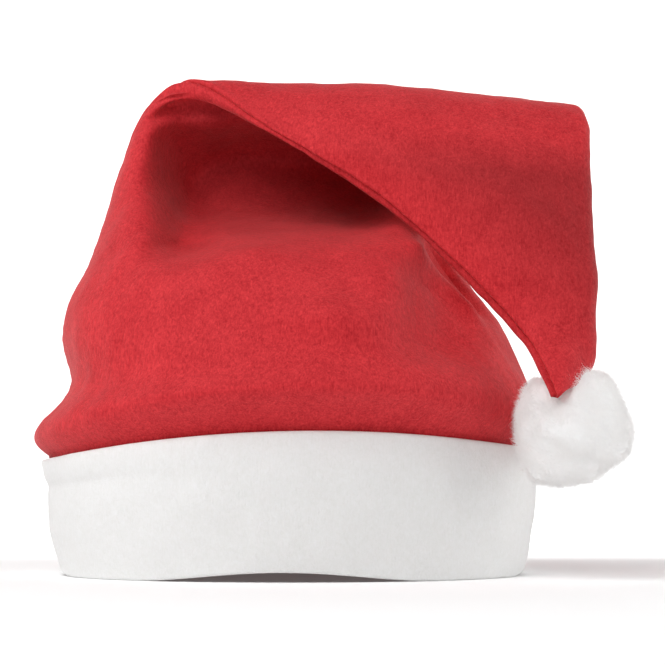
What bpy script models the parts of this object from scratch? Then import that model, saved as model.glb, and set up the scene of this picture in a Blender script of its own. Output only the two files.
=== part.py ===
"""Santa hat in felt: a red crown that folds over to the front right, a white brim band and a pompom on its tip.

Metres, +Z up, the front toward -Y. Work on the surfaces is done in millimetres round the middle of the head oval,
and the whole hat is set down with the middle of its box over the origin.
"""

from typing import NamedTuple

import bpy
import numpy as np

# Sizes in millimetres
HEAD_WIDTH = 201.0  # outer width of the brim band, left to right
HEAD_DEPTH = 167.0  # outer depth of the brim band, front to back
BAND_HEIGHT = 54.0  # at the sides
BAND_WALL = 3.0  # two layers of white felt
CROWN_RISE = 149.0  # from the band's top up to the crease
TAIL_DROP = 129.0  # from the crease down to the end of the folded tail
FELT = 2.0  # one layer of red felt
FOLD_RADIUS = 1.6  # inner radius of the felt's tightest fold
FOLD_SLACK = 0.4  # how far each layer of a flat fold stands off past that radius
SEAM_LAP = 7.0  # depth of the crown's edge inside the band
SEAM_TURN = 1.5  # where the crown turns outward, above the band's top
POMPOM = 48.0  # diameter of the pompom over its tufts
TUFT = 2.6  # how far the tufts stand out
RIM_TUCK = 4.0  # how far the band's rim draws in
BAND_FLARE = 4.0  # how far its left end moves out above its buckle
CLEARANCE = 0.35  # gap kept between two pieces

BEND = FOLD_RADIUS + FELT  # outer radius of the tightest fold

# Mesh fineness
RINGS = 54  # rows of the crown from its edge to its tip
AROUND = 40  # points in a ring of the crown and of the band
CROWDING = 0.25  # how strongly those points crowd into the folded ends
BAND_ROWS = 5
FLARE_ROWS = 4
BUCKLE = 0.79  # where up the band its left end buckles
FLARE_CURVE = 0.6
BALL_RINGS = 20
BALL_AROUND = 28
TUFTS = 70
SOCKET_RINGS = 14


class Section(NamedTuple):
    """One ring of the crown, between its seam point and its far point.

    Across are shares of half the head's width. Up to the crease, deep are shares of half the head's depth and
    heights are shares of the crown's rise above the band. On the tail, deep are shares of how far the pompom hangs
    in front, and heights are shares of the tail's drop, taken down from the crease. Front and back are how far the
    ring opens to either side of the line between its two points, as shares of half the head's depth. Turn is the
    direction of its back half: 0 away from the front, 90 up, 180 toward the front. Arch lifts the middle of the
    front half, as a share of the rise.
    """

    tail: int
    seam_across: float
    seam_deep: float
    seam_height: float
    far_across: float
    far_deep: float
    far_height: float
    front: float
    back: float
    turn: float
    arch: float
    bow: float


SECTIONS = (
    Section(0, -1.000, 0.00, -0.037, 1.015, 0.00, -0.007, 1.00, 1.00, 0, 0.062, 0.00),
    Section(0, -1.023, 0.00, 0.000, 1.030, 0.00, 0.030, 1.03, 1.03, 0, 0.072, 0.00),
    Section(0, -0.985, 0.00, 0.067, 1.030, 0.00, 0.090, 1.11, 1.05, 0, 0.060, 0.00),
    Section(0, -0.885, 0.00, 0.140, 0.990, 0.00, 0.160, 1.08, 1.04, 0, 0.030, 0.00),
    Section(0, -0.905, 0.00, 0.250, 0.930, 0.00, 0.250, 1.00, 1.02, 0, 0.000, 0.00),
    Section(0, -0.905, 0.00, 0.360, 0.840, 0.00, 0.350, 0.90, 0.97, 0, 0.000, 0.00),
    Section(0, -0.800, 0.00, 0.500, 0.685, 0.04, 0.500, 0.77, 0.88, 0, 0.000, 0.00),
    Section(0, -0.745, 0.02, 0.600, 0.660, 0.12, 0.600, 0.62, 0.78, 0, 0.000, 0.00),
    Section(0, -0.700, 0.04, 0.710, 0.700, 0.30, 0.710, 0.45, 0.60, 0, 0.000, 0.00),
    Section(0, -0.635, 0.05, 0.840, 0.850, 0.32, 0.830, 0.26, 0.36, 0, 0.000, 0.00),
    Section(0, -0.560, 0.05, 0.930, 1.050, 0.14, 0.900, 0.12, 0.14, 25, 0.000, 0.00),
    Section(0, -0.430, 0.03, 0.980, 1.200, -0.05, 0.903, 0.06, 0.05, 90, 0.000, 0.03),
    Section(1, -0.100, -0.31, 0.170, 1.234, -0.37, 0.217, 0.06, 0.06, 170, 0.000, 0.11),
    Section(1, 0.265, -0.52, 0.335, 1.236, -0.57, 0.410, 0.06, 0.06, 180, 0.000, 0.19),
    Section(1, 0.515, -0.66, 0.505, 1.234, -0.68, 0.543, 0.05, 0.05, 180, 0.000, 0.20),
    Section(1, 0.680, -0.75, 0.620, 1.234, -0.77, 0.660, 0.05, 0.05, 180, 0.000, 0.19),
    Section(1, 0.865, -0.85, 0.777, 1.229, -0.86, 0.790, 0.05, 0.05, 180, 0.000, 0.16),
    Section(1, 0.978, -0.97, 0.899, 1.219, -0.96, 0.900, 0.05, 0.05, 180, 0.000, 0.13),
    Section(1, 1.030, -1.02, 1.000, 1.160, -1.01, 0.980, 0.05, 0.05, 180, 0.000, 0.10),
)


class Fold(NamedTuple):
    """A soft dent or ridge of the crown, along the line between two places on it.

    Along is a share of the way from edge to tip, round a share of the way round the ring: 0 at the seam, 0.25 at
    the front, 0.5 at the far side, 0.75 at the back. Long and wide are its reach along and round, in the same
    shares. Depth is a share of how far the ring opens there, pushed in, or out where it is negative. Flat is 1 for
    a round bottom and 2 for a broad one.
    """

    along_from: float
    round_from: float
    along_to: float
    round_to: float
    long: float
    wide: float
    depth: float
    flat: int


FOLDS = (
    # The deep pocket under the folded tail, and the valley at its left
    Fold(0.415, 0.210, 0.415, 0.310, 0.100, 0.060, 0.50, 2),
    Fold(0.490, 0.155, 0.490, 0.300, 0.075, 0.042, 0.34, 1),
    Fold(0.545, 0.095, 0.560, 0.240, 0.028, 0.038, 0.42, 1),  # and up to the seam at the peak
    Fold(0.300, 0.170, 0.480, 0.130, 0.028, 0.028, 0.24, 1),
    # The fold that runs down from under the tail, with the dents beside it
    Fold(0.300, 0.385, 0.200, 0.290, 0.034, 0.036, -0.045, 1),
    Fold(0.260, 0.425, 0.150, 0.365, 0.034, 0.032, 0.050, 1),
    Fold(0.290, 0.285, 0.230, 0.310, 0.026, 0.026, 0.036, 1),
    # Slack in the back
    Fold(0.110, 0.700, 0.285, 0.640, 0.035, 0.030, 0.050, 1),
    Fold(0.180, 0.840, 0.325, 0.800, 0.040, 0.035, 0.060, 1),
    Fold(0.385, 0.600, 0.510, 0.640, 0.035, 0.035, 0.120, 1),
)


class Hem(NamedTuple):
    """A stretch of the rim that stands clear of the floor. Round is its middle and wide its reach, as in a fold.

    Lift is a share of the band's height.
    """

    round: float
    wide: float
    lift: float


HEMS = (
    Hem(0.000, 0.060, 0.040),
    Hem(0.245, 0.110, 0.070),
    Hem(0.500, 0.060, 0.045),
)

# How far the pompom's middle lies right of the tail's end and below it: shares of its diameter
POMPOM_RIGHT = 0.060
POMPOM_BELOW = 0.330


def pompom_front():
    """How far in front of the head's middle the pompom hangs, with its side against the crown's widest ring."""
    reach = POMPOM / 2 + CLEARANCE
    end = SECTIONS[-1]
    across = (end.seam_across + end.far_across) * HEAD_WIDTH / 4 + POMPOM_RIGHT * POMPOM
    wide = max(s.far_across for s in SECTIONS if not s.turn) * HEAD_WIDTH / 2 + reach
    deep = max(s.front for s in SECTIONS) * HEAD_DEPTH / 2 + reach
    return deep * np.sqrt(max(0, 1 - (across / wide) ** 2))


def spline(knots, values, at):
    """A natural cubic spline through the rows of values, read at the places asked for."""
    count = len(knots)
    gaps = np.diff(knots)
    system = np.eye(count)
    right = np.zeros((count, values.shape[1]))
    for i in range(1, count - 1):
        system[i, i - 1 : i + 2] = gaps[i - 1], 2 * (gaps[i - 1] + gaps[i]), gaps[i]
        right[i] = 6 * ((values[i + 1] - values[i]) / gaps[i] - (values[i] - values[i - 1]) / gaps[i - 1])
    bend = np.linalg.solve(system, right)
    i = np.clip(np.searchsorted(knots, at, side="right") - 1, 0, count - 2)
    gap = gaps[i][:, None]
    after = (at - knots[i])[:, None]
    before = gap - after
    curve = (bend[i] * before**3 + bend[i + 1] * after**3) / (6 * gap)
    line = (values[i] / gap - bend[i] * gap / 6) * before + (values[i + 1] / gap - bend[i + 1] * gap / 6) * after
    return curve + line


def section_rows():
    """The sections in millimetres, with a way along them: seam point, far point, front, back, turn, arch and bow."""
    across = HEAD_WIDTH / 2
    open_to = HEAD_DEPTH / 2
    rows = []
    for s in SECTIONS:
        deep = pompom_front() if s.tail else HEAD_DEPTH / 2
        base = BAND_HEIGHT + (CROWN_RISE if s.tail else 0)
        unit = -TAIL_DROP if s.tail else CROWN_RISE
        seam = (s.seam_across * across, s.seam_deep * deep, base + s.seam_height * unit)
        far = (s.far_across * across, s.far_deep * deep, base + s.far_height * unit)
        rows.append((*seam, *far, s.front * open_to, s.back * open_to, np.radians(s.turn), s.arch * CROWN_RISE, s.bow))
    rows = np.array(rows)
    # The first ring is lapped inside the band, clear of its wall
    inset = BAND_WALL + CLEARANCE
    rows[0, [0, 3, 6, 7]] += (inset, -inset, -inset, -inset)
    middle = (rows[:, :3] + rows[:, 3:6]) / 2
    step = np.linalg.norm(np.diff(middle, axis=0), axis=1) + np.abs(np.diff(rows[:, 6])) / 2 + BEND
    return np.concatenate([[0], np.cumsum(step) / step.sum()]), rows


KNOTS, ROWS = section_rows()


def crown_surface(along, around):
    """The crown's outer surface at shares along it and round its rings.

    Each ring is a thin oval between its seam point and its far point, grown by the bend radius, so that a flattened
    ring still closes in a round fold. The folds then push it in or out along the direction of its thickness.
    """
    rows = spline(KNOTS, ROWS, along)
    seam, far = rows[:, None, 0:3], rows[:, None, 3:6]
    front, back, turn, arch, bow = (rows[:, None, i] for i in range(6, 11))
    v = 2 * np.pi * around[None, :]
    middle, half = (seam + far) / 2, (far - seam) / 2
    width = np.maximum(np.linalg.norm(half, axis=2), BEND + FOLD_SLACK)
    across = half / np.linalg.norm(half, axis=2)[..., None]
    thick = np.stack([0 * turn, np.cos(turn), np.sin(turn)], axis=2)
    depth = np.maximum(np.where(np.sin(v) >= 0, front, back), BEND + FOLD_SLACK)
    core_w, core_d = width - BEND, depth - BEND
    u = np.arctan2(core_d**CROWDING * np.sin(v), core_w**CROWDING * np.cos(v))
    nx, ny = core_d * np.cos(u), core_w * np.sin(u)
    norm = np.hypot(nx, ny)
    x = core_w * np.cos(u) + BEND * nx / norm
    y = core_d * np.sin(u) + BEND * ny / norm
    push = np.zeros_like(x)
    for fold in FOLDS:
        run = np.array([fold.along_to - fold.along_from, fold.round_to - fold.round_from]) / (fold.long, fold.wide)
        a = (along[:, None] - fold.along_from) / fold.long
        b = (around[None, :] - fold.round_from) / fold.wide
        share = np.clip((a * run[0] + b * run[1]) / (run @ run), 0, 1)
        away = (a - share * run[0]) ** 2 + (b - share * run[1]) ** 2
        push += fold.depth * (front + back) * np.exp(-(away**fold.flat))
    y = y - np.where(np.sin(v) >= 0, 1, -1) * push - bow * width * (1 - (x / width) ** 2)
    points = middle - across * x[..., None] - thick * y[..., None]
    points[..., 2] += arch * np.maximum(np.sin(v), 0) ** 2
    return points


def crown_normals(along, around):
    """Unit normals of the crown's outer surface, from its slopes along and round."""
    tiny = 1e-4
    a = np.clip(along, tiny, 1 - tiny)
    down = crown_surface(a + tiny, around) - crown_surface(a - tiny, around)
    over = crown_surface(a, around + tiny) - crown_surface(a, around - tiny)
    normal = np.cross(over, down)
    return normal / np.linalg.norm(normal, axis=2)[..., None]


def grid_faces(rows, columns, start=0, flip=False):
    """Quads between the rings of a grid that closes round on itself."""
    i, j = np.meshgrid(np.arange(rows - 1), np.arange(columns), indexing="ij")
    a = start + i * columns + j
    b = start + i * columns + (j + 1) % columns
    quads = np.stack([a, b, b + columns, a + columns], axis=2).reshape(-1, 4)
    return (quads[:, ::-1] if flip else quads).tolist()


def fan(ring, middle, flip=False):
    """Triangles from a ring to one point."""
    faces = [(ring[i], ring[(i + 1) % len(ring)], middle) for i in range(len(ring))]
    return [face[::-1] for face in faces] if flip else faces


def shell(outer, inner, closed_end):
    """Points and faces of a tube with a wall: both skins joined at the first ring, and at the last one or domed."""
    rows, columns = outer.shape[:2]
    inner_rows = inner.shape[0]
    count = rows * columns
    points = np.concatenate([outer.reshape(-1, 3), inner.reshape(-1, 3)])
    faces = grid_faces(rows, columns) + grid_faces(inner_rows, columns, count, True)
    first = np.arange(columns)
    after = np.roll(first, -1)
    faces += np.stack([first, count + first, count + after, after], axis=1).tolist()
    if closed_end:
        points = np.concatenate([points, [outer[-1].mean(axis=0)], [inner[-1].mean(axis=0)]])
        faces += fan(list(range(count - columns, count)), len(points) - 2)
        last = count + (inner_rows - 1) * columns
        faces += fan(list(range(last, last + columns)), len(points) - 1, True)
    else:
        a, b = count - columns + first, count + (inner_rows - 1) * columns + first
        c, d = count - columns + after, count + (inner_rows - 1) * columns + after
        faces += np.stack([a, c, d, b], axis=1).tolist()
    return points, faces


def band_flare(share):
    """How far the band's left end has moved out at a share up the band: a power of the way above the buckle."""
    return BAND_FLARE * np.clip((share - BUCKLE) / (1 - BUCKLE), 0, 1) ** FLARE_CURVE


def crown():
    """The felt crown, hollow from its open edge to its tip."""
    along = np.linspace(0, 1, RINGS)
    around = np.arange(AROUND) / AROUND
    outer = crown_surface(along, around)
    normals = crown_normals(along, around)
    # The lapped edge hangs down from the first ring, inside the band
    normals[0, :, 2] = 0
    normals[0] /= np.linalg.norm(normals[0], axis=1)[:, None]
    end = 1 - (SEAM_LAP - SEAM_TURN) / (BAND_HEIGHT + SECTIONS[0].seam_height * CROWN_RISE - SEAM_TURN)
    inward = (BAND_FLARE - band_flare(end)) * (1 + np.cos(2 * np.pi * around)) / 2
    lap = np.stack([-inward, 0 * inward, 0 * inward + SEAM_LAP], axis=1)[None]
    inner = outer - normals * FELT
    outer = np.concatenate([outer[:1] - lap, outer])
    inner = np.concatenate([inner[:1] - lap, inner])
    length = np.linalg.norm(np.diff(outer.mean(axis=1), axis=0), axis=1)
    left = length[::-1].cumsum()[::-1]
    keep = 1 + int(np.count_nonzero(left > 2 * FELT))
    return shell(outer, inner[:keep], True)


def band():
    """The brim band: an oval wall whose top follows the crown's edge, and whose rim rests flat between its lifts."""
    around = np.arange(AROUND) / AROUND
    v = 2 * np.pi * around
    edge, base = crown_surface(KNOTS[:1], around)[0], SECTIONS[0]
    right = base.far_across * HEAD_WIDTH / 2
    rim = np.zeros(AROUND)
    for hem in HEMS:
        away = np.abs((around - hem.round + 0.5) % 1 - 0.5) / hem.wide
        rim += hem.lift * BAND_HEIGHT * (0.5 + 0.5 * np.cos(np.pi * np.minimum(away, 1)))
    skins = []
    for inset in (0, BAND_WALL):
        rows = []
        for share in (*np.linspace(0, BUCKLE, BAND_ROWS), *np.linspace(BUCKLE, 1, FLARE_ROWS)[1:]):
            tuck = RIM_TUCK * (1 - share) ** 3
            left = base.seam_across * HEAD_WIDTH / 2 + BAND_FLARE - band_flare(share)
            x = (left + right) / 2 - ((right - left) / 2 - inset - tuck) * np.cos(v)
            y = -(HEAD_DEPTH / 2 - inset - tuck) * np.sin(v)
            rows.append(np.stack([x, y, rim + share * (edge[:, 2] - SEAM_TURN - rim)], axis=1))
        skins.append(np.array(rows))
    return shell(skins[0], skins[1], False)


def tail_socket():
    """The hollow that the tail's end takes in the pompom: the tail's own last stretch, grown by the clearance."""
    reach = POMPOM / (np.linalg.norm(np.diff((ROWS[:, :3] + ROWS[:, 3:6]) / 2, axis=0), axis=1).sum())
    along = np.linspace(1 - reach, 1, SOCKET_RINGS)
    around = np.arange(AROUND) / AROUND
    grown = crown_surface(along, around) + crown_normals(along, around) * CLEARANCE
    end = grown.mean(axis=1)
    way = (end[-1] - end[-2]) / np.linalg.norm(end[-1] - end[-2])
    grown[-1] += way * CLEARANCE
    points = np.concatenate([grown.reshape(-1, 3), [end[0]], [end[-1] + way * CLEARANCE]])
    count = SOCKET_RINGS * AROUND
    faces = grid_faces(SOCKET_RINGS, AROUND)
    faces += fan(list(range(AROUND)), count, True) + fan(list(range(count - AROUND, count)), count + 1)
    return points, faces


def pompom():
    """The pompom: a ball whose surface rises into tufts spread evenly over it."""
    end = ROWS[-1]
    middle = (end[:3] + end[3:6]) / 2 + np.array([POMPOM_RIGHT, 0, -POMPOM_BELOW]) * POMPOM
    middle[1] = -pompom_front()
    turn = np.arange(TUFTS) * np.pi * (3 - np.sqrt(5))
    high = 1 - (2 * np.arange(TUFTS) + 1) / TUFTS
    tufts = np.stack([np.sqrt(1 - high**2) * np.cos(turn), np.sqrt(1 - high**2) * np.sin(turn), high], axis=1)
    tilt = np.linspace(0, np.pi, BALL_RINGS + 1)[1:-1, None]
    v = 2 * np.pi * np.arange(BALL_AROUND)[None, :] / BALL_AROUND
    ways = np.stack([np.sin(tilt) * np.cos(v), np.sin(tilt) * np.sin(v), np.cos(tilt) + 0 * v], axis=2)
    ways = np.concatenate([ways.reshape(-1, 3), [[0, 0, 1], [0, 0, -1]]])
    nearest = np.sort(np.arccos(np.clip(ways @ tufts.T, -1, 1)), axis=1)[:, 0]
    spread = np.sqrt(4 * np.pi / TUFTS) / 2
    radius = POMPOM / 2 - TUFT * np.minimum(nearest / spread, 1) ** 2
    points = middle + ways * radius[:, None]
    rows = BALL_RINGS - 1
    faces = grid_faces(rows, BALL_AROUND, 0, True)
    top, bottom = rows * BALL_AROUND, rows * BALL_AROUND + 1
    faces += fan(list(range(BALL_AROUND)), top)
    faces += fan(list(range((rows - 1) * BALL_AROUND, rows * BALL_AROUND)), bottom, True)
    return points, faces


def material(name, colour):
    made = bpy.data.materials.new(name)
    made.use_nodes = True
    shader = made.node_tree.nodes["Principled BSDF"]
    shader.inputs["Base Color"].default_value = (*colour, 1)
    shader.inputs["Roughness"].default_value = 0.95
    return made


def add(name, points, faces, felt=None):
    """A mesh object from points in millimetres."""
    mesh = bpy.data.meshes.new(name)
    mesh.from_pydata((points / 1000).tolist(), [], faces)
    mesh.validate()
    mesh.shade_smooth()
    if felt:
        mesh.materials.append(felt)
    made = bpy.data.objects.new(name, mesh)
    bpy.context.scene.collection.objects.link(made)
    return made


def main():
    for old in list(bpy.data.objects):
        bpy.data.objects.remove(old, do_unlink=True)
    pieces = {
        "crown": (*crown(), material("red_felt", (0.58, 0.022, 0.032))),
        "brim_band": (*band(), material("white_felt", (0.84, 0.84, 0.83))),
        "pompom": (*pompom(), material("white_fluff", (0.87, 0.85, 0.84))),
    }
    every = np.concatenate([points for points, _, _ in pieces.values()])
    low, high = every.min(axis=0), every.max(axis=0)
    origin = np.array([(low[0] + high[0]) / 2, (low[1] + high[1]) / 2, low[2]])
    made = {name: add(name, points - origin, faces, felt) for name, (points, faces, felt) in pieces.items()}
    points, faces = tail_socket()
    socket = add("tail_socket", points - origin, faces)
    socket.hide_render = True
    socket.display_type = "WIRE"
    cut = made["pompom"].modifiers.new("tail_socket", "BOOLEAN")
    cut.operation = "DIFFERENCE"
    cut.solver = "EXACT"
    cut.object = socket


main()
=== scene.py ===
"""A red felt Santa hat with a white felt brim band and a fluffy white pompom, standing on a pale table.

The surfaces are worked out in millimetres round the middle of the head oval, with the front toward -Y, and are then
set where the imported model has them.
"""

from typing import NamedTuple

import bpy
import numpy as np
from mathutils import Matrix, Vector


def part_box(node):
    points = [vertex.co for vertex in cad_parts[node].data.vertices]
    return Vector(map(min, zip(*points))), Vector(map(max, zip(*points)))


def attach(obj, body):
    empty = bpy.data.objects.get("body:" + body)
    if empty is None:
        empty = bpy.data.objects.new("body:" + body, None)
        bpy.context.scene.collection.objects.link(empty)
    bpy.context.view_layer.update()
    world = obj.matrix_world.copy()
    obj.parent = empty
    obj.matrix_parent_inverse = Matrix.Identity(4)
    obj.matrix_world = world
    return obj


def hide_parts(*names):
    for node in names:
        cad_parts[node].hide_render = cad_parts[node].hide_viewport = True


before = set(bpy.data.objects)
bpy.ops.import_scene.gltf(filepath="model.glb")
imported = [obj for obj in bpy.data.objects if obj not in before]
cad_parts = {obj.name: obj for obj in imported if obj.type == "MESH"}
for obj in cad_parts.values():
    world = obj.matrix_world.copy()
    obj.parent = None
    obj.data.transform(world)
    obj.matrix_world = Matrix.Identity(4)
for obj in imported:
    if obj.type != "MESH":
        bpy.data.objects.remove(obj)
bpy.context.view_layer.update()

# Sizes in millimetres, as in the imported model
HEAD_WIDTH = 201.0
HEAD_DEPTH = 167.0
BAND_HEIGHT = 54.0
BAND_WALL = 3.0
CROWN_RISE = 149.0
TAIL_DROP = 129.0
FELT = 2.0
FOLD_RADIUS = 1.6
FOLD_SLACK = 0.4
SEAM_LAP = 7.0
SEAM_TURN = 1.5
POMPOM = 48.0
CLEARANCE = 0.35
RIM_TUCK = 4.0
BAND_FLARE = 4.0  # how far the band's left end moves out above its buckle
BUCKLE = 0.79  # the share of the band's height at which that starts
FLARE_CURVE = 0.6
BEND = FOLD_RADIUS + FELT
CROWDING = 0.25

# Finish that only this scene has, in millimetres
# Each ripple of a surface: its rise, its wavelength and its seed
CROWN_RIPPLES = ((0.55, 55, 3), (0.22, 20, 4), (0.10, 8, 5))
BAND_RIPPLES = ((0.5, 42, 21), (0.18, 14, 22), (0.07, 5, 23))
CORE_RIPPLES = ((0.25, 10, 33), (0.10, 4, 34))
BELLY = 1.1  # how far the band's wall swells at half its height
TOP_IN = 0.5  # how far its top edge leans in
LOOSE_FROM = 0.06  # the share along the crown up to which the band steadies its felt
INSIDE_END = 0.985  # where the inner face closes, a little before the outer one
INSIDE_SLACK = 0.3
# The corner that the tail's end runs down to beside its seam: from this share along the crown, down and forward
CORNER_FROM = 0.88
CORNER_DROP = 2.5
CORNER_WIDE = 4.5
CORNER_FORWARD = 14.0
CORNER_ROLL = 11.0
CORNER_IN = 1.5
# The turned side seam. Real stitches are about 3 mm long, and these are drawn longer so that they show.
SEAM_LIP = 4.6  # from the folded edge to the stitches
LIP_RISE = 0.8
SEAM_GROOVE = 1.9
SEAM_GROOVE_WIDTH = 1.25
SHOULDER_BEHIND = 3.2
SHOULDER_WIDE = 2.2
SHOULDER_RISE = 0.45
STITCH = 5.0

# Mesh fineness
CROWN_ROWS = 300
CROWN_ROUND = 280
INSIDE_ROWS = 90
INSIDE_ROUND = 100
BAND_ROUND = 520
BAND_UP = 40
CORE_ROWS = 150
CORE_ROUND = 300
FIBRES = 17000
FIBRE_SETS = 2


class Section(NamedTuple):
    """One ring of the crown, between its seam point and its far point, in shares of the sizes above."""

    tail: int
    seam_across: float
    seam_deep: float
    seam_height: float
    far_across: float
    far_deep: float
    far_height: float
    front: float
    back: float
    turn: float
    arch: float
    bow: float


SECTIONS = (
    Section(0, -1.000, 0.00, -0.037, 1.015, 0.00, -0.007, 1.00, 1.00, 0, 0.062, 0.00),
    Section(0, -1.023, 0.00, 0.000, 1.030, 0.00, 0.030, 1.03, 1.03, 0, 0.072, 0.00),
    Section(0, -0.985, 0.00, 0.067, 1.030, 0.00, 0.090, 1.11, 1.05, 0, 0.060, 0.00),
    Section(0, -0.885, 0.00, 0.140, 0.990, 0.00, 0.160, 1.08, 1.04, 0, 0.030, 0.00),
    Section(0, -0.905, 0.00, 0.250, 0.930, 0.00, 0.250, 1.00, 1.02, 0, 0.000, 0.00),
    Section(0, -0.905, 0.00, 0.360, 0.840, 0.00, 0.350, 0.90, 0.97, 0, 0.000, 0.00),
    Section(0, -0.800, 0.00, 0.500, 0.685, 0.04, 0.500, 0.77, 0.88, 0, 0.000, 0.00),
    Section(0, -0.745, 0.02, 0.600, 0.660, 0.12, 0.600, 0.62, 0.78, 0, 0.000, 0.00),
    Section(0, -0.700, 0.04, 0.710, 0.700, 0.30, 0.710, 0.45, 0.60, 0, 0.000, 0.00),
    Section(0, -0.635, 0.05, 0.840, 0.850, 0.32, 0.830, 0.26, 0.36, 0, 0.000, 0.00),
    Section(0, -0.560, 0.05, 0.930, 1.050, 0.14, 0.900, 0.12, 0.14, 25, 0.000, 0.00),
    Section(0, -0.430, 0.03, 0.980, 1.200, -0.05, 0.903, 0.06, 0.05, 90, 0.000, 0.03),
    Section(1, -0.100, -0.31, 0.170, 1.234, -0.37, 0.217, 0.06, 0.06, 170, 0.000, 0.11),
    Section(1, 0.265, -0.52, 0.335, 1.236, -0.57, 0.410, 0.06, 0.06, 180, 0.000, 0.19),
    Section(1, 0.515, -0.66, 0.505, 1.234, -0.68, 0.543, 0.05, 0.05, 180, 0.000, 0.20),
    Section(1, 0.680, -0.75, 0.620, 1.234, -0.77, 0.660, 0.05, 0.05, 180, 0.000, 0.19),
    Section(1, 0.865, -0.85, 0.777, 1.229, -0.86, 0.790, 0.05, 0.05, 180, 0.000, 0.16),
    Section(1, 0.978, -0.97, 0.899, 1.219, -0.96, 0.900, 0.05, 0.05, 180, 0.000, 0.13),
    Section(1, 1.030, -1.02, 1.000, 1.160, -1.01, 0.980, 0.05, 0.05, 180, 0.000, 0.10),
)


class Fold(NamedTuple):
    """A soft dent or ridge of the crown between two places on it: shares along it, round it and of its opening."""

    along_from: float
    round_from: float
    along_to: float
    round_to: float
    long: float
    wide: float
    depth: float
    flat: int


FOLDS = (
    # The deep pocket under the folded tail, and the valley at its left
    Fold(0.415, 0.210, 0.415, 0.310, 0.100, 0.060, 0.50, 2),
    Fold(0.490, 0.155, 0.490, 0.300, 0.075, 0.042, 0.34, 1),
    Fold(0.545, 0.095, 0.560, 0.240, 0.028, 0.038, 0.42, 1),
    Fold(0.300, 0.170, 0.480, 0.130, 0.028, 0.028, 0.24, 1),
    # The fold that runs down from under the tail, with the dents beside it
    Fold(0.300, 0.385, 0.200, 0.290, 0.034, 0.036, -0.045, 1),
    Fold(0.260, 0.425, 0.150, 0.365, 0.034, 0.032, 0.050, 1),
    Fold(0.290, 0.285, 0.230, 0.310, 0.026, 0.026, 0.036, 1),
    # Slack in the back
    Fold(0.110, 0.700, 0.285, 0.640, 0.035, 0.030, 0.050, 1),
    Fold(0.180, 0.840, 0.325, 0.800, 0.040, 0.035, 0.060, 1),
    Fold(0.385, 0.600, 0.510, 0.640, 0.035, 0.035, 0.120, 1),
)


# Small creases of the felt beside the gap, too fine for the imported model: as folds, with the rise in millimetres
CREASES = (
    Fold(0.285, 0.392, 0.212, 0.420, 0.015, 0.014, 2.8, 1),
    Fold(0.280, 0.424, 0.222, 0.446, 0.022, 0.015, -3.6, 1),
    Fold(0.280, 0.376, 0.190, 0.315, 0.026, 0.026, 2.6, 1),
    Fold(0.235, 0.380, 0.175, 0.350, 0.030, 0.026, -3.0, 1),
)


class Hem(NamedTuple):
    """A stretch of the rim that stands clear of the table: its middle and reach round, and its lift."""

    round: float
    wide: float
    lift: float


HEMS = (
    Hem(0.000, 0.060, 0.040),
    Hem(0.245, 0.110, 0.070),
    Hem(0.500, 0.060, 0.045),
)

POMPOM_RIGHT = 0.060
POMPOM_BELOW = 0.330

# Colours of the finishes, as they show in even light
RED_FUZZ = "#E3393F"
RED_DEEP = "#B4121E"
RED_BLOOM = "#FFB8B4"
# The tint that the painted shade multiplies into the felt's colour
PAINTED_SHADE_TINT = "#D2CACA"
WHITE_FUZZ = "#FBFBFB"
WHITE_DEEP = "#F3F3F1"
WHITE_BLOOM = "#FFF4F2"
FLUFF = "#FFFEFD"
FLUFF_DEEP = "#F8F6F5"
TABLE = "#FBFBFB"


def linear(text):
    """An sRGB hex colour as linear light: the low part of the curve is straight, the rest a power of 2.4."""
    s = np.array([int(text[i : i + 2], 16) for i in (1, 3, 5)]) / 255
    return (*np.where(s <= 0.04045, s / 12.92, ((s + 0.055) / 1.055) ** 2.4), 1.0)


def pompom_front():
    """How far in front the pompom hangs: the offset oval of the widest ring, read at the pompom's place across."""
    reach = POMPOM / 2 + CLEARANCE
    end = SECTIONS[-1]
    across = (end.seam_across + end.far_across) * HEAD_WIDTH / 4 + POMPOM_RIGHT * POMPOM
    wide = max(s.far_across for s in SECTIONS if not s.turn) * HEAD_WIDTH / 2 + reach
    deep = max(s.front for s in SECTIONS) * HEAD_DEPTH / 2 + reach
    return deep * np.sqrt(max(0, 1 - (across / wide) ** 2))


def spline(knots, values, at):
    """A natural cubic spline: piecewise cubics whose slopes and bends meet at the knots, with no bend at the ends."""
    count = len(knots)
    gaps = np.diff(knots)
    system = np.eye(count)
    right = np.zeros((count, values.shape[1]))
    for i in range(1, count - 1):
        system[i, i - 1 : i + 2] = gaps[i - 1], 2 * (gaps[i - 1] + gaps[i]), gaps[i]
        right[i] = 6 * ((values[i + 1] - values[i]) / gaps[i] - (values[i] - values[i - 1]) / gaps[i - 1])
    bend = np.linalg.solve(system, right)
    i = np.clip(np.searchsorted(knots, at, side="right") - 1, 0, count - 2)
    gap = gaps[i][:, None]
    after = (at - knots[i])[:, None]
    before = gap - after
    curve = (bend[i] * before**3 + bend[i + 1] * after**3) / (6 * gap)
    line = (values[i] / gap - bend[i] * gap / 6) * before + (values[i + 1] / gap - bend[i + 1] * gap / 6) * after
    return curve + line


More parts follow.
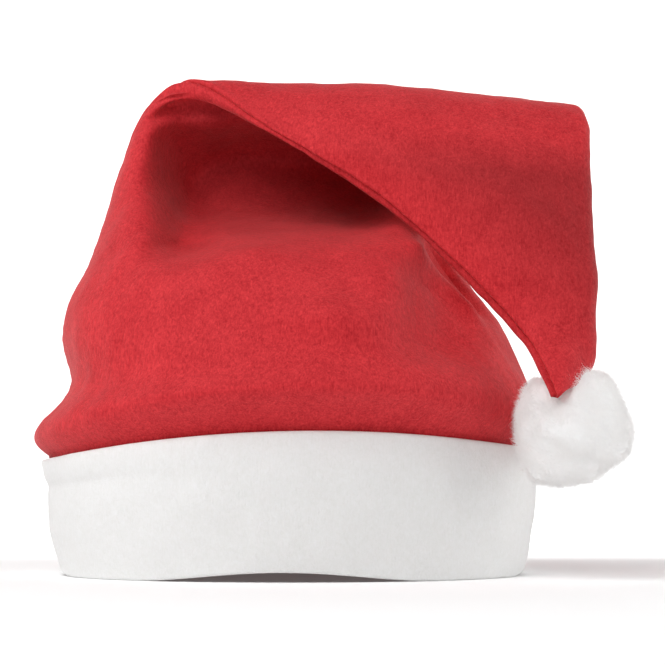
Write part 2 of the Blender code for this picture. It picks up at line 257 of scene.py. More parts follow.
def section_rows():
    """The sections in millimetres, and the share of the way along the crown at which each lies."""
    rows = []
    for s in SECTIONS:
        deep = pompom_front() if s.tail else HEAD_DEPTH / 2
        base = BAND_HEIGHT + (CROWN_RISE if s.tail else 0)
        unit = -TAIL_DROP if s.tail else CROWN_RISE
        seam = (s.seam_across * HEAD_WIDTH / 2, s.seam_deep * deep, base + s.seam_height * unit)
        far = (s.far_across * HEAD_WIDTH / 2, s.far_deep * deep, base + s.far_height * unit)
        opening = (s.front * HEAD_DEPTH / 2, s.back * HEAD_DEPTH / 2)
        rows.append((*seam, *far, *opening, np.radians(s.turn), s.arch * CROWN_RISE, s.bow))
    rows = np.array(rows)
    inset = BAND_WALL + CLEARANCE
    rows[0, [0, 3, 6, 7]] += (inset, -inset, -inset, -inset)
    middle = (rows[:, :3] + rows[:, 3:6]) / 2
    step = np.linalg.norm(np.diff(middle, axis=0), axis=1) + np.abs(np.diff(rows[:, 6])) / 2 + BEND
    return np.concatenate([[0], np.cumsum(step) / step.sum()]), rows


KNOTS, ROWS = section_rows()
TAIL_START = KNOTS[[section.tail for section in SECTIONS].index(1)]

# Painted shade on the crown's felt, across the tail, along its seam's pressed edge and in the pocket under the tail:
# shares of the way along, and millimetres from the seam
PAINTED_SHADE_RAMP = 0.05
PAINTED_SHADE_FROM = 8.0
PAINTED_SHADE_OVER = 62.0
PAINTED_SHADE_EDGE = 0.75
PAINTED_SHADE_EDGE_WIDE = 3.5
PAINTED_SHADE_POCKET = 0.85


def ripple(points, length, seed, waves=14):
    """Smooth unevenness from -1 to 1: a sum of sine waves in many directions, all of about one wavelength."""
    rng = np.random.default_rng(seed)
    way = rng.normal(size=(waves, 3))
    way /= np.linalg.norm(way, axis=1)[:, None]
    pace = 2 * np.pi / (length * rng.uniform(0.7, 1.4, waves))
    turn = rng.uniform(0, 2 * np.pi, waves)
    total = np.zeros(points.shape[:-1])
    for i in range(waves):
        total += np.sin(points @ (way[i] * pace[i]) + turn[i])
    return total / np.sqrt(waves)


def uneven(points, ripples):
    """A surface's unevenness in millimetres: the sum of its ripples."""
    return sum(rise * ripple(points, length, seed) for rise, length, seed in ripples)


def fold_bell(fold, along, around):
    """A fold's strength on the crown's grid: e to the minus distance squared from its line, or to its flat power."""
    run = np.array([fold.along_to - fold.along_from, fold.round_to - fold.round_from]) / (fold.long, fold.wide)
    a = (along[:, None] - fold.along_from) / fold.long
    b = (around[None, :] - fold.round_from) / fold.wide
    share = np.clip((a * run[0] + b * run[1]) / (run @ run), 0, 1)
    away = (a - share * run[0]) ** 2 + (b - share * run[1]) ** 2
    return np.exp(-(away**fold.flat))


def crown_form(along, around):
    """The crown's form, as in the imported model.

    A ring is an oval between its two end points, grown by the bend radius along its own outward direction, and
    pushed in by each fold: depth times the opening times e to the minus distance squared from the fold's line.
    """
    rows = spline(KNOTS, ROWS, along)
    seam, far = rows[:, None, 0:3], rows[:, None, 3:6]
    front, back, turn, arch, bow = (rows[:, None, i] for i in range(6, 11))
    v = 2 * np.pi * around[None, :]
    middle, half = (seam + far) / 2, (far - seam) / 2
    width = np.maximum(np.linalg.norm(half, axis=2), BEND + FOLD_SLACK)
    across = half / np.linalg.norm(half, axis=2)[..., None]
    thick = np.stack([0 * turn, np.cos(turn), np.sin(turn)], axis=2)
    depth = np.maximum(np.where(np.sin(v) >= 0, front, back), BEND + FOLD_SLACK)
    core_w, core_d = width - BEND, depth - BEND
    u = np.arctan2(core_d**CROWDING * np.sin(v), core_w**CROWDING * np.cos(v))
    nx, ny = core_d * np.cos(u), core_w * np.sin(u)
    norm = np.hypot(nx, ny)
    x = core_w * np.cos(u) + BEND * nx / norm
    y = core_d * np.sin(u) + BEND * ny / norm
    push = np.zeros_like(x)
    for fold in FOLDS:
        push += fold.depth * (front + back) * fold_bell(fold, along, around)
    y = y - np.where(np.sin(v) >= 0, 1, -1) * push - bow * width * (1 - (x / width) ** 2)
    points = middle - across * x[..., None] - thick * y[..., None]
    points[..., 2] += arch * np.maximum(np.sin(v), 0) ** 2
    return points


def grid_normals(points):
    """Unit normals of a grid that closes round on itself: slope round crossed with slope along."""
    down = np.gradient(points, axis=0)
    over = np.roll(points, -1, axis=1) - np.roll(points, 1, axis=1)
    normal = np.cross(over, down)
    return normal / np.maximum(np.linalg.norm(normal, axis=2), 1e-9)[..., None]


def seam_relief(points):
    """The turned side seam: a stitched groove a few millimetres behind the felt's folded edge, between two swells.

    Each is a bell curve of the distance round the ring from the seam, and the groove is deeper at each stitch.
    """
    step = np.linalg.norm(np.roll(points, -1, axis=1) - points, axis=2)
    behind = step[:, ::-1].cumsum(axis=1)[:, ::-1]
    down = np.linalg.norm(np.gradient(points[:, 0], axis=0), axis=1).cumsum()[:, None]
    wide = np.maximum(SEAM_GROOVE_WIDTH, 1.3 * step)
    stitch = 1 + 0.3 * np.cos(2 * np.pi * down / STITCH)
    groove = -SEAM_GROOVE * stitch * (SEAM_GROOVE_WIDTH / wide) * np.exp(-(((behind - SEAM_LIP) / wide) ** 2))
    shoulder = SHOULDER_RISE * np.exp(-(((behind - SEAM_LIP - SHOULDER_BEHIND) / SHOULDER_WIDE) ** 2))
    lip = LIP_RISE * np.exp(-(((behind - 0.45 * SEAM_LIP) / (0.4 * SEAM_LIP)) ** 2))
    return groove + (lip + shoulder) * np.minimum(1, 2.0 / np.maximum(step, 0.1))


def grid_quads(rows, columns, start=0, flip=False):
    """Quads between the rings of a grid that closes round on itself."""
    i, j = np.meshgrid(np.arange(rows - 1), np.arange(columns), indexing="ij")
    a = start + i * columns + j
    b = start + i * columns + (j + 1) % columns
    quads = np.stack([a, b, b + columns, a + columns], axis=2).reshape(-1, 4)
    return quads[:, ::-1] if flip else quads


def fan(ring, middle, flip=False):
    """Triangles from a ring of points to one point."""
    faces = np.stack([ring, np.roll(ring, -1), np.full(len(ring), middle)], axis=1)
    return faces[:, ::-1] if flip else faces


def put(name, points, quads, triangles, finish):
    """A smooth mesh piece from points in millimetres, which rides with the hat."""
    mesh = bpy.data.meshes.new(name)
    faces = len(quads) + len(triangles)
    corners = np.concatenate([np.ravel(quads), np.ravel(triangles)]).astype(np.int32)
    starts = np.concatenate([4 * np.arange(len(quads)), 4 * len(quads) + 3 * np.arange(len(triangles))])
    mesh.vertices.add(len(points))
    mesh.vertices.foreach_set("co", ((points + OFFSET) / 1000).astype(np.float32).ravel())
    mesh.loops.add(len(corners))
    mesh.loops.foreach_set("vertex_index", corners)
    mesh.polygons.add(faces)
    mesh.polygons.foreach_set("loop_start", starts.astype(np.int32))
    mesh.update(calc_edges=True)
    mesh.validate()
    mesh.shade_smooth()
    mesh.materials.append(finish)
    piece = bpy.data.objects.new(name, mesh)
    bpy.context.scene.collection.objects.link(piece)
    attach(piece, "root")
    return piece


def band_flare(share):
    """How far the band's left end has moved out at a share up the band: a power of the way above the buckle."""
    return BAND_FLARE * np.clip((share - BUCKLE) / (1 - BUCKLE), 0, 1) ** FLARE_CURVE


def lap_step(around):
    """From the lapped edge inside the band up to the first ring: straight up, and outward as the band flares."""
    end = 1 - (SEAM_LAP - SEAM_TURN) / (BAND_HEIGHT + SECTIONS[0].seam_height * CROWN_RISE - SEAM_TURN)
    inward = (BAND_FLARE - band_flare(end)) * (1 + np.cos(2 * np.pi * around)) / 2
    return np.stack([-inward, 0 * inward, 0 * inward + SEAM_LAP], axis=1)[None]


def hem_corner(points, along):
    """Draws the tail's end down to a blunt corner beside its seam and forward over the fluff.

    Both are bell curves across the tail, times the square of the share of the last stretch that is passed.
    """
    over = np.clip((along - CORNER_FROM) / (1 - CORNER_FROM), 0, 1)[:, None] ** 2
    aside = points[..., 0] - ROWS[-1][0] - CORNER_IN
    points[..., 2] -= CORNER_DROP * over * np.exp(-((aside / CORNER_WIDE) ** 2))
    points[..., 1] -= CORNER_FORWARD * over * np.exp(-((aside / CORNER_ROLL) ** 2))
    return points


def painted_shade_amount(points, along, around):
    """How much painted shade darkens the felt: across the tail from its seam, on its pressed edge, and in the pocket.
    """
    step = np.linalg.norm(np.roll(points, -1, axis=1) - points, axis=2)
    ahead = step.cumsum(axis=1) - step
    round_seam = np.minimum(ahead, step.sum(axis=1)[:, None] - ahead)
    tail = np.clip((along - TAIL_START) / PAINTED_SHADE_RAMP, 0, 1)[:, None]
    across = np.clip((points[..., 0] - points[:, :1, 0] - PAINTED_SHADE_FROM) / PAINTED_SHADE_OVER, 0, 1)
    pocket = np.maximum(fold_bell(FOLDS[0], along, around), fold_bell(FOLDS[1], along, around))
    return np.maximum(
        tail * np.maximum(across, PAINTED_SHADE_EDGE * np.exp(-((round_seam / PAINTED_SHADE_EDGE_WIDE) ** 2))),
        PAINTED_SHADE_POCKET * pocket,
    )


def crown_felt(finish):
    """The felt crown: outside, the form with its ripples, creases and seam, and inside, one felt's thickness in."""
    along = np.linspace(0, 1, CROWN_ROWS)
    around = np.arange(CROWN_ROUND) / CROWN_ROUND
    outer = hem_corner(crown_form(along, around), along)
    loose = np.clip(along / LOOSE_FROM, 0, 1)[:, None]
    relief = loose * uneven(outer, CROWN_RIPPLES)
    relief += sum(crease.depth * fold_bell(crease, along, around) for crease in CREASES)
    outer = outer + grid_normals(outer) * (relief + loose * seam_relief(outer))[..., None]
    inner_along = np.linspace(0, INSIDE_END, INSIDE_ROWS)
    inner_around = np.arange(INSIDE_ROUND) / INSIDE_ROUND
    inner = hem_corner(crown_form(inner_along, inner_around), inner_along)
    inner = inner - grid_normals(inner) * (FELT + INSIDE_SLACK)
    outer = np.concatenate([outer[:1] - lap_step(around), outer])
    inner = np.concatenate([inner[:1] - lap_step(inner_around), inner])
    rows, columns = outer.shape[:2]
    inner_rows, inner_columns = inner.shape[:2]
    count = rows * columns
    points = np.concatenate([outer.reshape(-1, 3), inner.reshape(-1, 3), [outer[-1].mean(0)], [inner[-1].mean(0)]])
    quads = np.concatenate([
        grid_quads(rows, columns),
        grid_quads(inner_rows, inner_columns, count, True),
    ])
    edge_out, edge_in = np.arange(columns), count + np.arange(inner_columns)
    nearest = edge_in[(np.arange(columns + 1) * inner_columns // columns) % inner_columns]
    rim = np.stack([np.roll(edge_out, -1), edge_out, nearest[:-1]], axis=1)
    turn = nearest[:-1] != nearest[1:]
    rim_inner = np.stack([np.roll(edge_out, -1)[turn], nearest[:-1][turn], nearest[1:][turn]], axis=1)
    triangles = np.concatenate([
        rim,
        rim_inner,
        fan(np.arange(count - columns, count), len(points) - 2),
        fan(count + (inner_rows - 1) * inner_columns + np.arange(inner_columns), len(points) - 1, True),
    ])
    piece = put("crown_felt", points, quads, triangles, finish)
    # Painted shade, kept per point as an attribute that darkens the felt's colour
    painted_shade = np.zeros(len(points), dtype=np.float32)
    painted_shade[columns:count] = painted_shade_amount(outer[1:], along, around).ravel()
    piece.data.attributes.new("painted_shade", "FLOAT", "POINT").data.foreach_set("value", painted_shade)
    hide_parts("crown")


def band_felt(finish):
    """The brim band: an upright rounded oblong, carried round the oval between the rim and the crown's edge."""
    around = np.arange(BAND_ROUND) / BAND_ROUND
    v = 2 * np.pi * around
    edge, base = crown_form(KNOTS[:1], around)[0], SECTIONS[0]
    rim = np.zeros(BAND_ROUND)
    for hem in HEMS:
        away = np.abs((around - hem.round + 0.5) % 1 - 0.5) / hem.wide
        rim += hem.lift * BAND_HEIGHT * (0.5 + 0.5 * np.cos(np.pi * np.minimum(away, 1)))
    top = edge[:, 2] - SEAM_TURN
    # The oblong's outline: up the outside, over the top, down the inside, under the rim
    edge_turn = np.linspace(0, np.pi, 9)[1:-1]
    up = np.linspace(0, 1, BAND_UP)
    radius = BAND_WALL / 2
    swing = radius * np.cos(edge_turn)
    side = np.concatenate([0 * up, radius - swing, 0 * up + BAND_WALL, BAND_WALL - radius + swing])
    share = np.concatenate([up, 1 + 0 * edge_turn, up[::-1], 0 * edge_turn])
    bead = radius - radius * np.sin(edge_turn)
    over = np.concatenate([radius - 2 * radius * up, -bead, 2 * radius * up - radius, bead])
    share, side, over = share[:, None], side[:, None], over[:, None]
    tuck = RIM_TUCK * (1 - share) ** 3
    belly = BELLY * np.sin(np.pi * share) - TOP_IN * share**6
    inset = side + tuck - belly
    height = rim + share * (top - rim) + over
    left = base.seam_across * HEAD_WIDTH / 2 + BAND_FLARE - band_flare(share)
    right = base.far_across * HEAD_WIDTH / 2
    x = (left + right) / 2 - ((right - left) / 2 - inset) * np.cos(v)
    y = -(HEAD_DEPTH / 2 - inset) * np.sin(v)
    points = np.stack([x, y, height], axis=2)
    relief = uneven(points, BAND_RIPPLES) * np.minimum(1, 6 * share * (1.15 - share))
    outward = np.stack([-np.cos(v), -np.sin(v), 0 * v], axis=1)
    points = points + outward * relief[..., None]
    rows = len(share)
    quads = grid_quads(rows, BAND_ROUND)
    last, first = (rows - 1) * BAND_ROUND + np.arange(BAND_ROUND), np.arange(BAND_ROUND)
    closing = np.stack([last, np.roll(last, -1), np.roll(first, -1), first], axis=1)
    quads = np.concatenate([quads, closing])
    piece = put("brim_felt", points.reshape(-1, 3), quads, np.zeros((0, 3), int), finish)
    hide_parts("brim_band")


def pompom_middle():
    """The pompom's middle, from the end of the tail."""
    end = (ROWS[-1][:3] + ROWS[-1][3:6]) / 2
    return np.array([end[0] + POMPOM_RIGHT * POMPOM, -pompom_front(), end[2] - POMPOM_BELOW * POMPOM])


def even_ways(count, seed, jitter):
    """Directions spread evenly over a ball by the golden angle, then shaken a little."""
    turn = np.arange(count) * np.pi * (3 - np.sqrt(5))
    high = 1 - (2 * np.arange(count) + 1) / count
    flat = np.sqrt(1 - high**2)
    ways = np.stack([flat * np.cos(turn), flat * np.sin(turn), high], axis=1)
    ways += np.random.default_rng(seed).normal(scale=jitter, size=ways.shape)
    return ways / np.linalg.norm(ways, axis=1)[:, None]


LOCKS = even_ways(84, 31, 0.12)
LOCK_RISE = np.random.default_rng(32).uniform(-0.7, 0.4, len(LOCKS))
LOCK_SHARP = 45.0
LOCK_DEPTH = 0.7
CORE_BELOW = 2.3  # from the fluff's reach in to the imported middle
ROOT_BELOW = 3.0
STRAY_SHARE = 0.12
STRAY_REACH = 2.0


class Lobe(NamedTuple):
    """A side of the pompom that stands out or is pressed in: its direction, its spread and its rise in mm."""

    right: float
    back: float
    up: float
    spread: float
    rise: float


LOBES = (
    Lobe(0.97, 0.00, -0.25, 0.35, 2.2),
    Lobe(0.60, -0.10, 0.80, 0.38, 2.6),
    Lobe(-0.70, 0.00, 0.70, 0.35, 2.0),
    Lobe(-0.63, -0.10, -0.77, 0.35, 2.6),
    Lobe(-1.00, 0.10, 0.00, 0.35, -1.2),
    Lobe(0.05, -0.10, -1.00, 0.30, -1.4),
    Lobe(0.70, 0.00, -0.72, 0.30, -2.6),
    Lobe(0.10, -1.00, 0.30, 0.50, -1.0),
    # Where the tail's corner presses on it
    Lobe(-0.42, -0.72, 0.55, 0.42, -4.5),
)


def nearest_lock(ways):
    """The number of the lock nearest to each direction."""
    return (ways @ LOCKS.T).argmax(axis=1)


def fluff_radius(ways):
    """How far the fluff reaches each way: the ball, its lobes as bell curves, and a smooth bump for each lock.

    The bumps are the logarithm of a sum of e to the cosine of the angle from each lock, which has no sharp valley.
    """
    pull = np.exp(LOCK_SHARP * (ways @ LOCKS.T - 1))
    reach = (pull * LOCK_RISE).sum(axis=1) / pull.sum(axis=1)
    radius = POMPOM / 2 + reach + LOCK_DEPTH * np.log(pull.sum(axis=1))
    for lobe in LOBES:
        way = np.array([lobe.right, lobe.back, lobe.up])
        off = np.arccos(np.clip(ways @ (way / np.linalg.norm(way)), -1, 1))
        radius += lobe.rise * np.exp(-((off / lobe.spread) ** 2))
    return radius


def pompom_core(finish):
    """The dense middle of the pompom: the fluff's reach drawn in a little, with soft ripples."""
    rows, columns = CORE_ROWS, CORE_ROUND
    tilt = np.linspace(0, np.pi, rows + 1)[1:-1, None]
    v = 2 * np.pi * np.arange(columns)[None, :] / columns
    ways = np.stack([np.sin(tilt) * np.cos(v), np.sin(tilt) * np.sin(v), np.cos(tilt) + 0 * v], axis=2)
    ways = np.concatenate([ways.reshape(-1, 3), [[0, 0, 1], [0, 0, -1]]])
    radius = fluff_radius(ways) - CORE_BELOW + uneven(ways * POMPOM / 2, CORE_RIPPLES)
    points = pompom_middle() + ways * radius[:, None]
    count = (rows - 1) * columns
    triangles = np.concatenate([
        fan(np.arange(columns), count),
        fan(np.arange(count - columns, count), count + 1, True),
    ])
    piece = put("pompom_core", points, grid_quads(rows - 1, columns, 0, True), triangles, finish)
    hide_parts("pompom")


def in_felt(points):
    """Whether points lie in the tail's felt or in the head's: tests against the tail's own ends at each height."""
    rows = ROWS[::-1]
    left = np.interp(points[..., 2], rows[:8, 2], rows[:8, 0])
    right = np.interp(points[..., 2], rows[:8, 5], rows[:8, 3])
    plane = np.interp(points[..., 2], rows[:8, 2], rows[:8, 1])
    tail = (points[..., 2] > rows[0, 2] - 1.0) & (points[..., 0] > left - 1) & (points[..., 0] < right + 1)
    tail &= np.abs(points[..., 1] - plane) < 5.0
    wide = SECTIONS[2].far_across * HEAD_WIDTH / 2
    deep = SECTIONS[2].front * HEAD_DEPTH / 2
    head = (points[..., 0] / wide) ** 2 + (points[..., 1] / deep) ** 2 < 1.0
    return tail | head


def pompom_fibres(finish):
    """The pompom's fibres: thin three-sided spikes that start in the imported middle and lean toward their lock's tip.

    A fibre's middle line is its root, plus its length times its way, plus a bow to one side that grows as a sine.
    A few are strays, which reach further and hardly lean, and a fibre that would run into the felt is left out.
    """
    middle = pompom_middle()
    for part in range(FIBRE_SETS):
        rng = np.random.default_rng(40 + part)
        ways = rng.normal(size=(FIBRES, 3))
        ways /= np.linalg.norm(ways, axis=1)[:, None]
        which = nearest_lock(ways)
        reach = fluff_radius(ways) + rng.uniform(-0.9, 0.9, FIBRES)
        stray = rng.random(FIBRES) < STRAY_SHARE
        reach = reach + np.where(stray, rng.uniform(0.0, STRAY_REACH, FIBRES), 0)
        root = ways * (fluff_radius(ways) - ROOT_BELOW)[:, None]
        gather = np.where(stray, 0.1, rng.uniform(0.1, 0.5, FIBRES))[:, None]
        flow = np.stack([ripple(ways * POMPOM / 2, 14, seed) for seed in (51, 52, 53)], axis=1)
        aim = ways * (1 - gather) + LOCKS[which] * gather + 0.13 * flow + rng.normal(scale=0.10, size=ways.shape)
        aim /= np.linalg.norm(aim, axis=1)[:, None]
        tip = aim * reach[:, None]
        length = np.linalg.norm(tip - root, axis=1)[:, None]
        line = (tip - root) / length
        side = np.cross(line, rng.normal(size=ways.shape))
        side /= np.linalg.norm(side, axis=1)[:, None]
        other = np.cross(line, side)
        bow = side * (rng.uniform(0.04, 0.16, FIBRES)[:, None] * length)
        keep = ~(in_felt(middle + tip) | in_felt(middle + (root + tip) / 2 + bow))
        thick = rng.uniform(0.04, 0.07, FIBRES)[:, None]
        rings = []
        for at, share in ((0.0, 1.0), (0.55, 0.8)):
            centre = root + line * length * at + bow * np.sin(np.pi * at)
            for turn in (0, 2 * np.pi / 3, 4 * np.pi / 3):
                rings.append(centre + thick * share * (side * np.cos(turn) + other * np.sin(turn)))
        corners = np.stack(rings + [tip], axis=1)[keep]
        count = len(corners)
        start = 7 * np.arange(count)[:, None]
        quads = np.concatenate([start + np.array([[j, (j + 1) % 3, 3 + (j + 1) % 3, 3 + j]]) for j in range(3)])
        spikes = [start + np.array([[3 + j, 3 + (j + 1) % 3, 6]]) for j in range(3)]
        triangles = np.concatenate(spikes + [start + np.array([[2, 1, 0]])])
        piece = put(f"pompom_fibres_{part + 1}", middle + corners.reshape(-1, 3), quads, triangles, finish)
        # Light passes between real fibres, many times finer than these
        piece.visible_shadow = False
        piece.visible_diffuse = False


def add_node(tree, kind, settings=None, links=None):
    """Adds a node, sets its own settings and unlinked sockets, and links its other sockets."""
    made = tree.nodes.new(kind)
    for name, value in (settings or {}).items():
        if isinstance(name, int) or name in made.inputs:
            made.inputs[name].default_value = value
        else:
            setattr(made, name, value)
    for name, socket in (links or {}).items():
        tree.links.new(socket, made.inputs[name])
    return made


def blank(name):
    """A new material with its node tree, surface shader and output."""
    made = bpy.data.materials.new(name)
    made.use_nodes = True
    return made, made.node_tree, made.node_tree.nodes["Principled BSDF"]


def needled_felt(name, fuzz, deep, bloom, sheen, through):
    """Needle-punched polyester felt: fibres pressed into a matt sheet.

    It gives the eye a soft matt colour, heathered by paler loose fibres and darker gaps about a millimetre across,
    short hairs that lie both ways, and a pale bloom where the surface turns away. A little light comes through it.
    Where a piece carries the shade attribute, its colour is darkened by painted shade.
    """
    made, tree, shader = blank(name)
    place = {"Vector": add_node(tree, "ShaderNodeTexCoord").outputs["Object"]}
    clouding = {"Scale": 1 / 0.012, "Detail": 3.0, "Roughness": 0.6}
    mottling = {"Scale": 1 / 0.0015, "Detail": 4.0, "Roughness": 0.65, "Distortion": 1.0}
    cloud = add_node(tree, "ShaderNodeTexNoise", clouding, place)
    mottle = add_node(tree, "ShaderNodeTexNoise", mottling, place)
    adding = {"operation": "MULTIPLY_ADD"}
    total = add_node(tree, "ShaderNodeMath", {**adding, 1: 0.5, 2: 0.0}, {0: mottle.outputs["Fac"]})
    for turn, seed in ((0.5, 3.0), (-0.7, 7.0)):
        # Hairs about 0.5 by 2.5 mm: drawn coarser than real ones so that they show
        lying = {"Location": (seed, seed, seed), "Rotation": (0.3, turn, 0.2), "Scale": (1.0, 1.0, 0.2)}
        lie = {"Vector": add_node(tree, "ShaderNodeMapping", lying, place).outputs["Vector"]}
        hair = add_node(tree, "ShaderNodeTexNoise", {"Scale": 1 / 0.0006, "Detail": 2.0, "Distortion": 0.4}, lie)
        total = add_node(tree, "ShaderNodeMath", {**adding, 1: 0.25}, {0: hair.outputs["Fac"], 2: total.outputs[0]})
    spread = add_node(tree, "ShaderNodeMath", {**adding, 1: 0.2}, {0: cloud.outputs["Fac"], 2: total.outputs[0]})
    ramp = add_node(tree, "ShaderNodeMapRange", {"From Min": 0.45, "From Max": 0.76}, {"Value": spread.outputs[0]})
    base = add_node(tree, "ShaderNodeMix", {"data_type": "RGBA", 6: deep, 7: fuzz}, {0: ramp.outputs["Result"]})
    # Painted shade: the base colour is multiplied toward a grey tint by the point attribute, which only the crown sets
    painted_shade = add_node(tree, "ShaderNodeAttribute", {"attribute_name": "painted_shade"})
    shading = {"data_type": "RGBA", "blend_type": "MULTIPLY", 7: linear(PAINTED_SHADE_TINT)}
    base = add_node(tree, "ShaderNodeMix", shading, {0: painted_shade.outputs["Fac"], 6: base.outputs[2]})
    tree.links.new(base.outputs[2], shader.inputs["Base Color"])
    bump = add_node(tree, "ShaderNodeBump", {"Strength": 0.7, "Distance": 0.0008}, {"Height": total.outputs[0]})
    tree.links.new(bump.outputs["Normal"], shader.inputs["Normal"])
    shader.inputs["Roughness"].default_value = 0.7
    shader.inputs["Specular IOR Level"].default_value = 0.22
    shader.inputs["Sheen Weight"].default_value = sheen
    shader.inputs["Sheen Roughness"].default_value = 0.5
    shader.inputs["Sheen Tint"].default_value = bloom
    glow = add_node(tree, "ShaderNodeBsdfTranslucent", None, {"Color": base.outputs[2]})
    both = add_node(tree, "ShaderNodeMixShader", {0: through}, {1: shader.outputs[0], 2: glow.outputs[0]})
    tree.links.new(both.outputs[0], tree.nodes["Material Output"].inputs["Surface"])
    return made


def carded_fluff():
    """Carded acrylic fibre of a pompom: loose bright white hairs that light passes through.

    It gives the eye a soft glow with no highlight, slightly greyer in small patches at random.
    """
    made, tree, shader = blank("carded_fluff")
    place = add_node(tree, "ShaderNodeTexCoord").outputs["Object"]
    tufts = add_node(tree, "ShaderNodeTexNoise", {"Scale": 1 / 0.003, "Detail": 2.0}, {"Vector": place})
    shades = {"data_type": "RGBA", 6: linear(FLUFF_DEEP), 7: linear(FLUFF)}
    colour = add_node(tree, "ShaderNodeMix", shades, {0: tufts.outputs["Fac"]})
    tree.links.new(colour.outputs[2], shader.inputs["Base Color"])
    shader.inputs["Roughness"].default_value = 0.9
    shader.inputs["Specular IOR Level"].default_value = 0.1
    through = add_node(tree, "ShaderNodeBsdfTranslucent", None, {"Color": colour.outputs[2]})
    both = add_node(tree, "ShaderNodeMixShader", {0: 0.25}, {1: shader.outputs[0], 2: through.outputs[0]})
    tree.links.new(both.outputs[0], tree.nodes["Material Output"].inputs["Surface"])
    return made


def packed_fluff():
    """The same fibre packed dense in the pompom's middle, which light enters and leaves a few millimetres on."""
    made, tree, shader = blank("packed_fluff")
    place = add_node(tree, "ShaderNodeTexCoord").outputs["Object"]
    tufts = add_node(tree, "ShaderNodeTexNoise", {"Scale": 1 / 0.0025, "Detail": 3.0}, {"Vector": place})
    shades = {"data_type": "RGBA", 6: linear(FLUFF_DEEP), 7: linear(FLUFF)}
    colour = add_node(tree, "ShaderNodeMix", shades, {0: tufts.outputs["Fac"]})
    tree.links.new(colour.outputs[2], shader.inputs["Base Color"])
    bump = add_node(tree, "ShaderNodeBump", {"Strength": 0.5, "Distance": 0.0006}, {"Height": tufts.outputs["Fac"]})
    tree.links.new(bump.outputs["Normal"], shader.inputs["Normal"])
    shader.inputs["Roughness"].default_value = 0.95
    shader.inputs["Specular IOR Level"].default_value = 0.1
    shader.inputs["Subsurface Weight"].default_value = 1.0
    shader.inputs["Subsurface Radius"].default_value = (1.0, 1.0, 1.0)
    shader.inputs["Subsurface Scale"].default_value = 0.002
    return made


def table_top():
    """A pale matt table that runs on into a wall, with a very faint unevenness in its white, and a faint painted glow.
    """
    made, tree, shader = blank("matt_white_table_painted_glow")
    place = add_node(tree, "ShaderNodeTexCoord").outputs["Object"]
    cloud = add_node(tree, "ShaderNodeTexNoise", {"Scale": 3.0, "Detail": 2.0}, {"Vector": place})
    shades = {"data_type": "RGBA", 6: linear(TABLE), 7: linear("#FFFFFF")}
    colour = add_node(tree, "ShaderNodeMix", shades, {0: cloud.outputs["Fac"]})
    tree.links.new(colour.outputs[2], shader.inputs["Base Color"])
    shader.inputs["Roughness"].default_value = 0.9
    shader.inputs["Specular IOR Level"].default_value = 0.1
    # Painted light: a faint glow that brightens the table's white and lights the hat a little from below, though the
    # table is no lamp
    shader.inputs["Emission Color"].default_value = (1.0, 1.0, 1.0, 1.0)
    shader.inputs["Emission Strength"].default_value = 0.07
    return made


def stage():
    """The table: a profile that is flat and then turns up in a quarter circle, carried from left to right."""
    turn = np.linspace(0, np.pi / 2, 24)
    reach, bend, high = 1.6, 1.2, 3.5
    y = np.concatenate([[-4.0], reach + bend * np.sin(turn), [reach + bend]])
    z = np.concatenate([[0.0], bend - bend * np.cos(turn), [high]])
    x = np.array([-5.0, 5.0])
    points = np.array([[side, y[i], z[i]] for i in range(len(y)) for side in x])
    faces = [(2 * i, 2 * i + 1, 2 * i + 3, 2 * i + 2) for i in range(len(y) - 1)]
    mesh = bpy.data.meshes.new("table")
    mesh.from_pydata(points.tolist(), [], faces)
    mesh.shade_smooth()
    mesh.materials.append(table_top())
    table = bpy.data.objects.new("table", mesh)
    bpy.context.scene.collection.objects.link(table)


def lamp(name, power, size, place, target):
    """A square soft light, in watts and metres, turned toward a point."""
    data = bpy.data.lights.new(name, "AREA")
    data.energy = power
    data.size = size
    made = bpy.data.objects.new(name, data)
    made.location = place
    made.rotation_euler = (Vector(target) - Vector(place)).to_track_quat("-Z", "Y").to_euler()
    made.visible_camera = False
    bpy.context.scene.collection.objects.link(made)


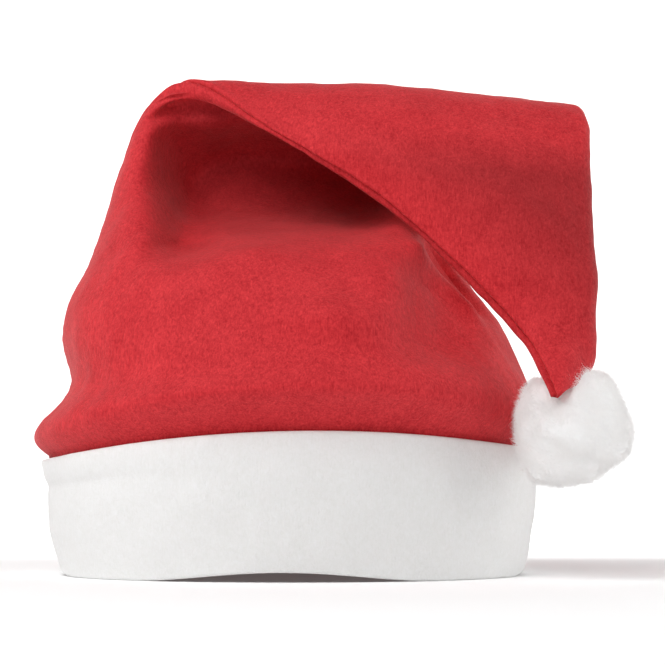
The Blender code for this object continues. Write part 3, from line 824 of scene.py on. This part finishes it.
def light():
    """Soft studio light: wide lamps from the upper left front, both sides and the front, and white all round.

    One more lamp lights the table's far wall.
    """
    aim = (0.0, 0.0, 0.1)
    lamp("key_light", 7.8, 1.0, (-0.7, -0.6, 1.2), aim)
    lamp("left_light", 5.0, 1.2, (-1.32, 0.0, 0.62), aim)
    lamp("right_light", 10.0, 1.2, (1.35, 0.1, 0.55), aim)
    lamp("front_light", 9.5, 1.2, (-0.3, -1.1, 1.05), aim)
    lamp("table_light", 70.0, 1.6, (0.0, 0.15, 1.2), (0.0, 2.2, 1.2))
    world = bpy.data.worlds.new("white_room")
    world.use_nodes = True
    world.node_tree.nodes["Background"].inputs["Color"].default_value = (1.0, 1.0, 1.0, 1.0)
    world.node_tree.nodes["Background"].inputs["Strength"].default_value = 0.1
    bpy.context.scene.world = world
    bpy.context.scene.view_settings.view_transform = "Standard"


CAMERA_AWAY = 1300.0
CAMERA_HEIGHT = 55.0
FRAME_WIDE = 273.3  # what the picture's width spans at the head's middle
AIM_RIGHT = 19.1
AIM_HEIGHT = 99.2


def camera():
    """A long lens a little above the table, level with the band, looking slightly up at the hat's middle."""
    data = bpy.data.cameras.new("camera")
    data.sensor_width = 36.0
    data.lens = 36.0 * CAMERA_AWAY / FRAME_WIDE
    made = bpy.data.objects.new("camera", data)
    place = Vector((np.array([AIM_RIGHT, -CAMERA_AWAY, CAMERA_HEIGHT]) + OFFSET) / 1000)
    aim = Vector((np.array([AIM_RIGHT, 0, AIM_HEIGHT]) + OFFSET) / 1000)
    made.location = place
    made.rotation_euler = (aim - place).to_track_quat("-Z", "Y").to_euler()
    bpy.context.scene.collection.objects.link(made)
    bpy.context.scene.camera = made


def hat_offset():
    """From the head oval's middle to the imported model's origin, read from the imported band's box."""
    low, high = (np.array(corner) * 1000 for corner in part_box("brim_band"))
    base = SECTIONS[0]
    middle = (base.seam_across + base.far_across) * HEAD_WIDTH / 4
    return np.array([(low[0] + high[0]) / 2 - middle, (low[1] + high[1]) / 2, 0.0])


OFFSET = hat_offset()
stage()
light()
camera()
crown_felt(needled_felt("red_needled_felt", linear(RED_FUZZ), linear(RED_DEEP), linear(RED_BLOOM), 0.18, 0.04))
band_felt(needled_felt("white_needled_felt", linear(WHITE_FUZZ), linear(WHITE_DEEP), linear(WHITE_BLOOM), 0.12, 0.12))
pompom_core(packed_fluff())
pompom_fibres(carded_fluff())
